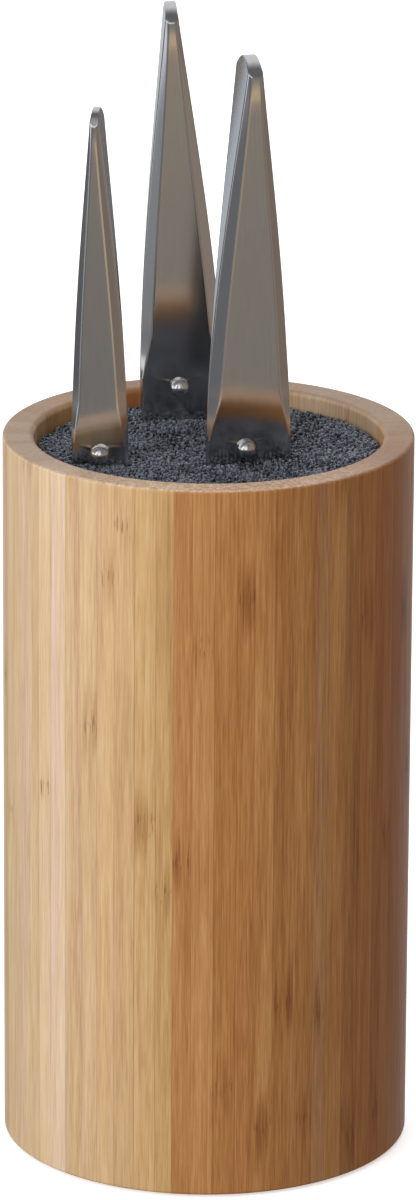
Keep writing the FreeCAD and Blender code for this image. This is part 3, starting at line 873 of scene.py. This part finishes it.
def crease(away, height):
    """How far the soft creases to each side of the pearl stand proud of the blade."""
    side = 0 if away < 0 else 1
    out = abs(away)
    level = CREASE_HEIGHTS[side] + CREASE_SLOPES[side] * out
    near = min(1.0, max(0.0, out / CREASE_CLEAR - 0.7) * 4)
    fade = max(0.0, 1 - out / FINE_REACH) * near
    return CREASE_RISES[side] * fade * math.exp(-(((height - level) / CREASE_WIDTH) ** 2))


def ricasso_ring(knife, height):
    """Section of the part by the pearl, which carries on the handle's faces and chamfers."""
    half_x = knife.base_width / 2
    slope = (knife.butt_thick - NECK_THICK) / 2 / (knife.length - SHOULDER)
    half_y = max(BLADE_THICK / 2, NECK_THICK / 2 - slope * (SHOULDER - height))
    down = min(1.0, (SHOULDER - height) / (SHOULDER - knife.heel))
    chamfer = BUTT_INSET + (SHORT_CHAMFER - BUTT_INSET) * down
    side = []
    for t in columns(knife):
        x = -half_x + 2 * half_x * t
        inset = half_x - abs(x)
        half = RIDGE_WIDTH / 2 + (half_y - RIDGE_WIDTH / 2) * min(1.0, inset / chamfer)
        side.append((x, half + crease(x - knife.pearl_off, height)))
    upper = [Vector((x, half, height)) for x, half in side]
    lower = [Vector((x, -half, height)) for x, half in reversed(side)]
    return upper + lower


def make_blade(knife, material):
    shares = [1 - t for t in spaced(0, 1, BLADE_RINGS, BLADE_RING_POWER)]
    rings = [blade_ring(knife, share) for share in shares]
    low = knife.heel + HEEL_ROUND
    plain_top = CREASES_FROM if low < -2 * MM else low
    heights = spaced(low, plain_top, 3)[:-1] if low < plain_top else []
    heights += spaced(plain_top, SHOULDER, RICASSO_RINGS)
    rings += [ricasso_ring(knife, height) for height in heights]
    points, faces = skin(rings)
    new_piece(
        f"{knife.name}_ground_blade",
        points,
        faces,
        material,
        knife.body,
        "blade_steel",
        f"{knife.name}_blade",
        matrix=knife.matrix,
        facets=True,
    )


PEARL_RINGS = 16
PEARL_SIDES = 48


def make_pearl(knife, material):
    """Two polished balls on one shank, turned about a line along the knife's Y axis."""
    middle = BLADE_THICK / 2 + PEARL_SEAT
    profile = []
    seat = math.acos(-PEARL_SEAT / PEARL_RADIUS)
    for t in spaced(0.03, 1, PEARL_RINGS):
        angle = seat * t
        out = middle + PEARL_RADIUS * math.cos(angle)
        profile.append((PEARL_RADIUS * math.sin(angle), out))
    profile.append((SHANK_RADIUS, BLADE_THICK / 2))
    profile += [(radius, -out) for radius, out in reversed(profile)]
    turns = [math.tau * i / PEARL_SIDES for i in range(PEARL_SIDES)]
    rings = []
    for radius, out in profile:
        ring = []
        for turn in turns:
            x, z = knife.pearl_off + radius * math.cos(turn), radius * math.sin(turn)
            ring.append(Vector((x, out, z)))
        rings.append(ring)
    points, faces = skin(rings)
    new_piece(
        f"{knife.name}_polished_pearl",
        points,
        faces,
        material,
        knife.body,
        "pearl_steel",
        f"{knife.name}_pearl",
        matrix=knife.matrix,
    )


# ---------------------------------------------------------------- bristles
ROD_RADIUS = 0.60 * MM
ROD_PITCH = 1.42 * MM
BLADE_GAP = 0.20 * MM
TIP_LIFT = 0.5 * MM
TIP_SPREAD = 0.9 * MM
ROD_SIDES = 6
ROD_WAVE_MM = 1.1
ROD_JITTER = 0.13 * MM
ROD_LEAN = 0.10 * MM
NEAR = 3.2 * ROD_PITCH
RELAX_STEPS = 14
RELAX_PITCH = 0.97 * ROD_PITCH
RELAX_SHARE = 0.45
ROW_HEIGHT = math.sqrt(0.75)  # of a hexagonal packing, in pitches
SEED = 7
# Levels of a rod's rounded tip: how far below its top, and how wide.
TIP_LEVELS = ((0.60 * MM, 1.0), (0.24 * MM, 0.84), (0.06 * MM, 0.45))
STEM_SCALE = 0.9


def rod_spots(rng):
    """Rod centres at the tips: wavy rows of a hexagonal packing inside the bundle.

    The waves differ from run to run, because noise_vector takes its seed from the clock.
    """
    limit = half_width("bristle_bundle") - ROD_RADIUS
    rows = int(limit / (ROD_PITCH * ROW_HEIGHT)) + 2
    spots = []
    for row in range(-rows, rows + 1):
        for column in range(-rows - 4, rows + 5):
            x = (column + 0.5 * (row % 2)) * ROD_PITCH
            y = row * ROD_PITCH * ROW_HEIGHT
            wave = noise.noise_vector(Vector((x, y, 0)) * 55) * ROD_WAVE_MM * MM
            jitter = rng.normal(0, ROD_JITTER, 2)
            x, y = x + wave.x + jitter[0], y + wave.y + jitter[1]
            if math.hypot(x, y) < limit:
                spots.append((x, y))
    return np.array(spots)


def clear_of_blades(spots, level):
    """Moves rods at a level sideways until they stand clear of every blade."""
    moved = spots.copy()
    for knife in KNIVES:
        inverse = knife.matrix.inverted()
        turn = np.array(inverse.to_3x3())
        local = np.column_stack([moved, np.full(len(moved), level)]) @ turn.T
        local += np.array(inverse.translation)
        reach = -knife.base_width / 2 - ROD_RADIUS
        far = knife.blade_width - knife.base_width / 2 + ROD_RADIUS
        inside = (local[:, 0] > reach) & (local[:, 0] < far)
        gap = BLADE_THICK / 2 + ROD_RADIUS + BLADE_GAP
        side = np.where(local[:, 1] >= 0, 1.0, -1.0)
        wanted = np.where(inside, side * np.maximum(np.abs(local[:, 1]), gap), local[:, 1])
        through = np.array(knife.matrix.to_3x3())[:2, 1]
        moved += (wanted - local[:, 1])[:, None] * through
    return moved


def relax(spots):
    """Spreads crowded rods, keeping them in the bundle and off the blades."""
    tree = kdtree.KDTree(len(spots))
    for i, (x, y) in enumerate(spots):
        tree.insert((x, y, 0), i)
    tree.balance()
    pairs = np.array(
        [
            (i, j)
            for i, (x, y) in enumerate(spots)
            for _, j, _ in tree.find_range((x, y, 0), NEAR)
            if j > i
        ]
    )
    first, second = pairs.T
    limit = half_width("bristle_bundle") - ROD_RADIUS
    spots = clear_of_blades(spots, BRISTLE_TOP)
    for _ in range(RELAX_STEPS):
        apart = spots[second] - spots[first]
        distance = np.maximum(np.linalg.norm(apart, axis=1), 1e-6)
        push = np.maximum(0.0, RELAX_PITCH - distance) * RELAX_SHARE
        shove = apart / distance[:, None] * push[:, None] * 0.5
        np.add.at(spots, second, shove)
        np.add.at(spots, first, -shove)
        spots = clear_of_blades(spots, BRISTLE_TOP)
        radius = np.linalg.norm(spots, axis=1)
        spots *= np.minimum(1.0, limit / radius)[:, None]
    return spots


def make_bristles(material):
    """Separate nylon rods from the plate up, flaring a little over the cup's rim."""
    rng = np.random.default_rng(SEED)
    tips = relax(rod_spots(rng))
    inner = size_of("bristle_plate").x / 2 - ROD_RADIUS - 0.2 * MM
    shrink = inner / (half_width("bristle_bundle") - ROD_RADIUS)
    stems = clear_of_blades(tips * shrink, CUP_TOP)
    tops = BRISTLE_TOP + TIP_LIFT - TIP_SPREAD * rng.uniform(0.0, 1.0, len(tips)) ** 2
    tops -= np.array([0.20 * MM * (1 + noise.noise((x * 90, y * 90, 3.0))) for x, y in tips])
    lean = rng.normal(0, ROD_LEAN, (len(tips), 2))
    turns = rng.uniform(0, math.tau, len(tips))
    corner = np.arange(ROD_SIDES) * math.tau / ROD_SIDES
    circle_x = np.cos(corner[None, :] + turns[:, None]) * ROD_RADIUS
    circle_y = np.sin(corner[None, :] + turns[:, None]) * ROD_RADIUS

    def level(centres, heights, scale):
        """One ring of every rod: rods x sides x 3."""
        ring = np.empty((len(tips), ROD_SIDES, 3))
        ring[:, :, 0] = centres[:, 0:1] + circle_x * scale
        ring[:, :, 1] = centres[:, 1:2] + circle_y * scale
        ring[:, :, 2] = heights[:, None]
        return ring

    leaning = tips + lean
    radius = np.linalg.norm(leaning, axis=1)
    leaning *= np.minimum(1.0, (half_width("bristle_bundle") - ROD_RADIUS) / radius)[:, None]
    flat = np.ones(len(tips))
    rings = [
        level(stems, flat * PLATE_TOP, STEM_SCALE),
        level(stems, flat * (CUP_TOP - 1.0 * MM), STEM_SCALE),
    ]
    rings += [level(leaning, tops - below, scale) for below, scale in TIP_LEVELS]
    crown = np.empty((len(tips), 1, 3))
    crown[:, 0, :2] = leaning
    crown[:, 0, 2] = tops
    points = np.concatenate(rings + [crown], axis=1)
    per_rod = points.shape[1]
    pattern = []
    for ring in range(len(rings) - 1):
        for j in range(ROD_SIDES):
            k = (j + 1) % ROD_SIDES
            low, high = ring * ROD_SIDES, (ring + 1) * ROD_SIDES
            pattern.append((low + j, low + k, high + k, high + j))
    last = (len(rings) - 1) * ROD_SIDES
    for j in range(ROD_SIDES):
        pattern.append((last + j, last + (j + 1) % ROD_SIDES, per_rod - 1))
    pattern.append(tuple(range(ROD_SIDES))[::-1])
    for side, chosen in (("left", tips[:, 0] < 0), ("right", tips[:, 0] >= 0)):
        rods = points[chosen]
        faces = [
            tuple(index + rod * per_rod for index in face)
            for rod in range(len(rods))
            for face in pattern
        ]
        new_piece(
            f"bristles_{side}",
            rods.reshape(-1, 3),
            faces,
            material,
            "insert",
            "bristle_plastic",
            "bristle_bundle",
        )


def dress(node, material):
    """Gives a CAD node a new material in its own slots."""
    target = frame["nodes"][node]
    if not target.data.materials:
        target.data.materials.append(material)
    for place in range(len(target.material_slots)):
        target.material_slots[place].material = material


make_camera()
make_world()
make_floor()
for light in LIGHTS:
    make_light(*light)

bamboo = bamboo_material("bamboo_staves", staves=True)
for number in range(1, STAVE_COUNT + 1):
    dress(f"stave_{number:02d}", bamboo)
dress("base_disc", bamboo_material("bamboo_board", staves=False))
rubber_tones = ((0.015,) * 3, (0.035,) * 3)
rubber = moulded_material("foot_rubber_grain", rubber_tones, 0.8, 3000.0, 0.03 * MM)
for number in range(1, FOOT_COUNT + 1):
    dress(f"foot_{number}", rubber)
plastic_tones = ((0.012,) * 3, (0.028,) * 3)
plastic = moulded_material("cup_plastic_grain", plastic_tones, 0.5, 1800.0, 0.04 * MM)
dress("insert_cup", plastic)
dress("bristle_plate", plastic)
make_bristles(bristle_material())

handle_steel = steel_material("satin_handle", 0.140, 0.03, (1500, 1500, 90))
blade_steel = steel_material("brushed_blade", 0.155, 0.04, (60, 1200, 2600))
pearl_steel = steel_material("polished_pearl", 0.08, 0.02, (900, 900, 900), bright=0.78)
for knife in KNIVES:
    make_handle(knife, handle_steel)
    make_blade(knife, blade_steel)
    make_pearl(knife, pearl_steel)

bpy.context.scene.view_settings.view_transform = "Standard"
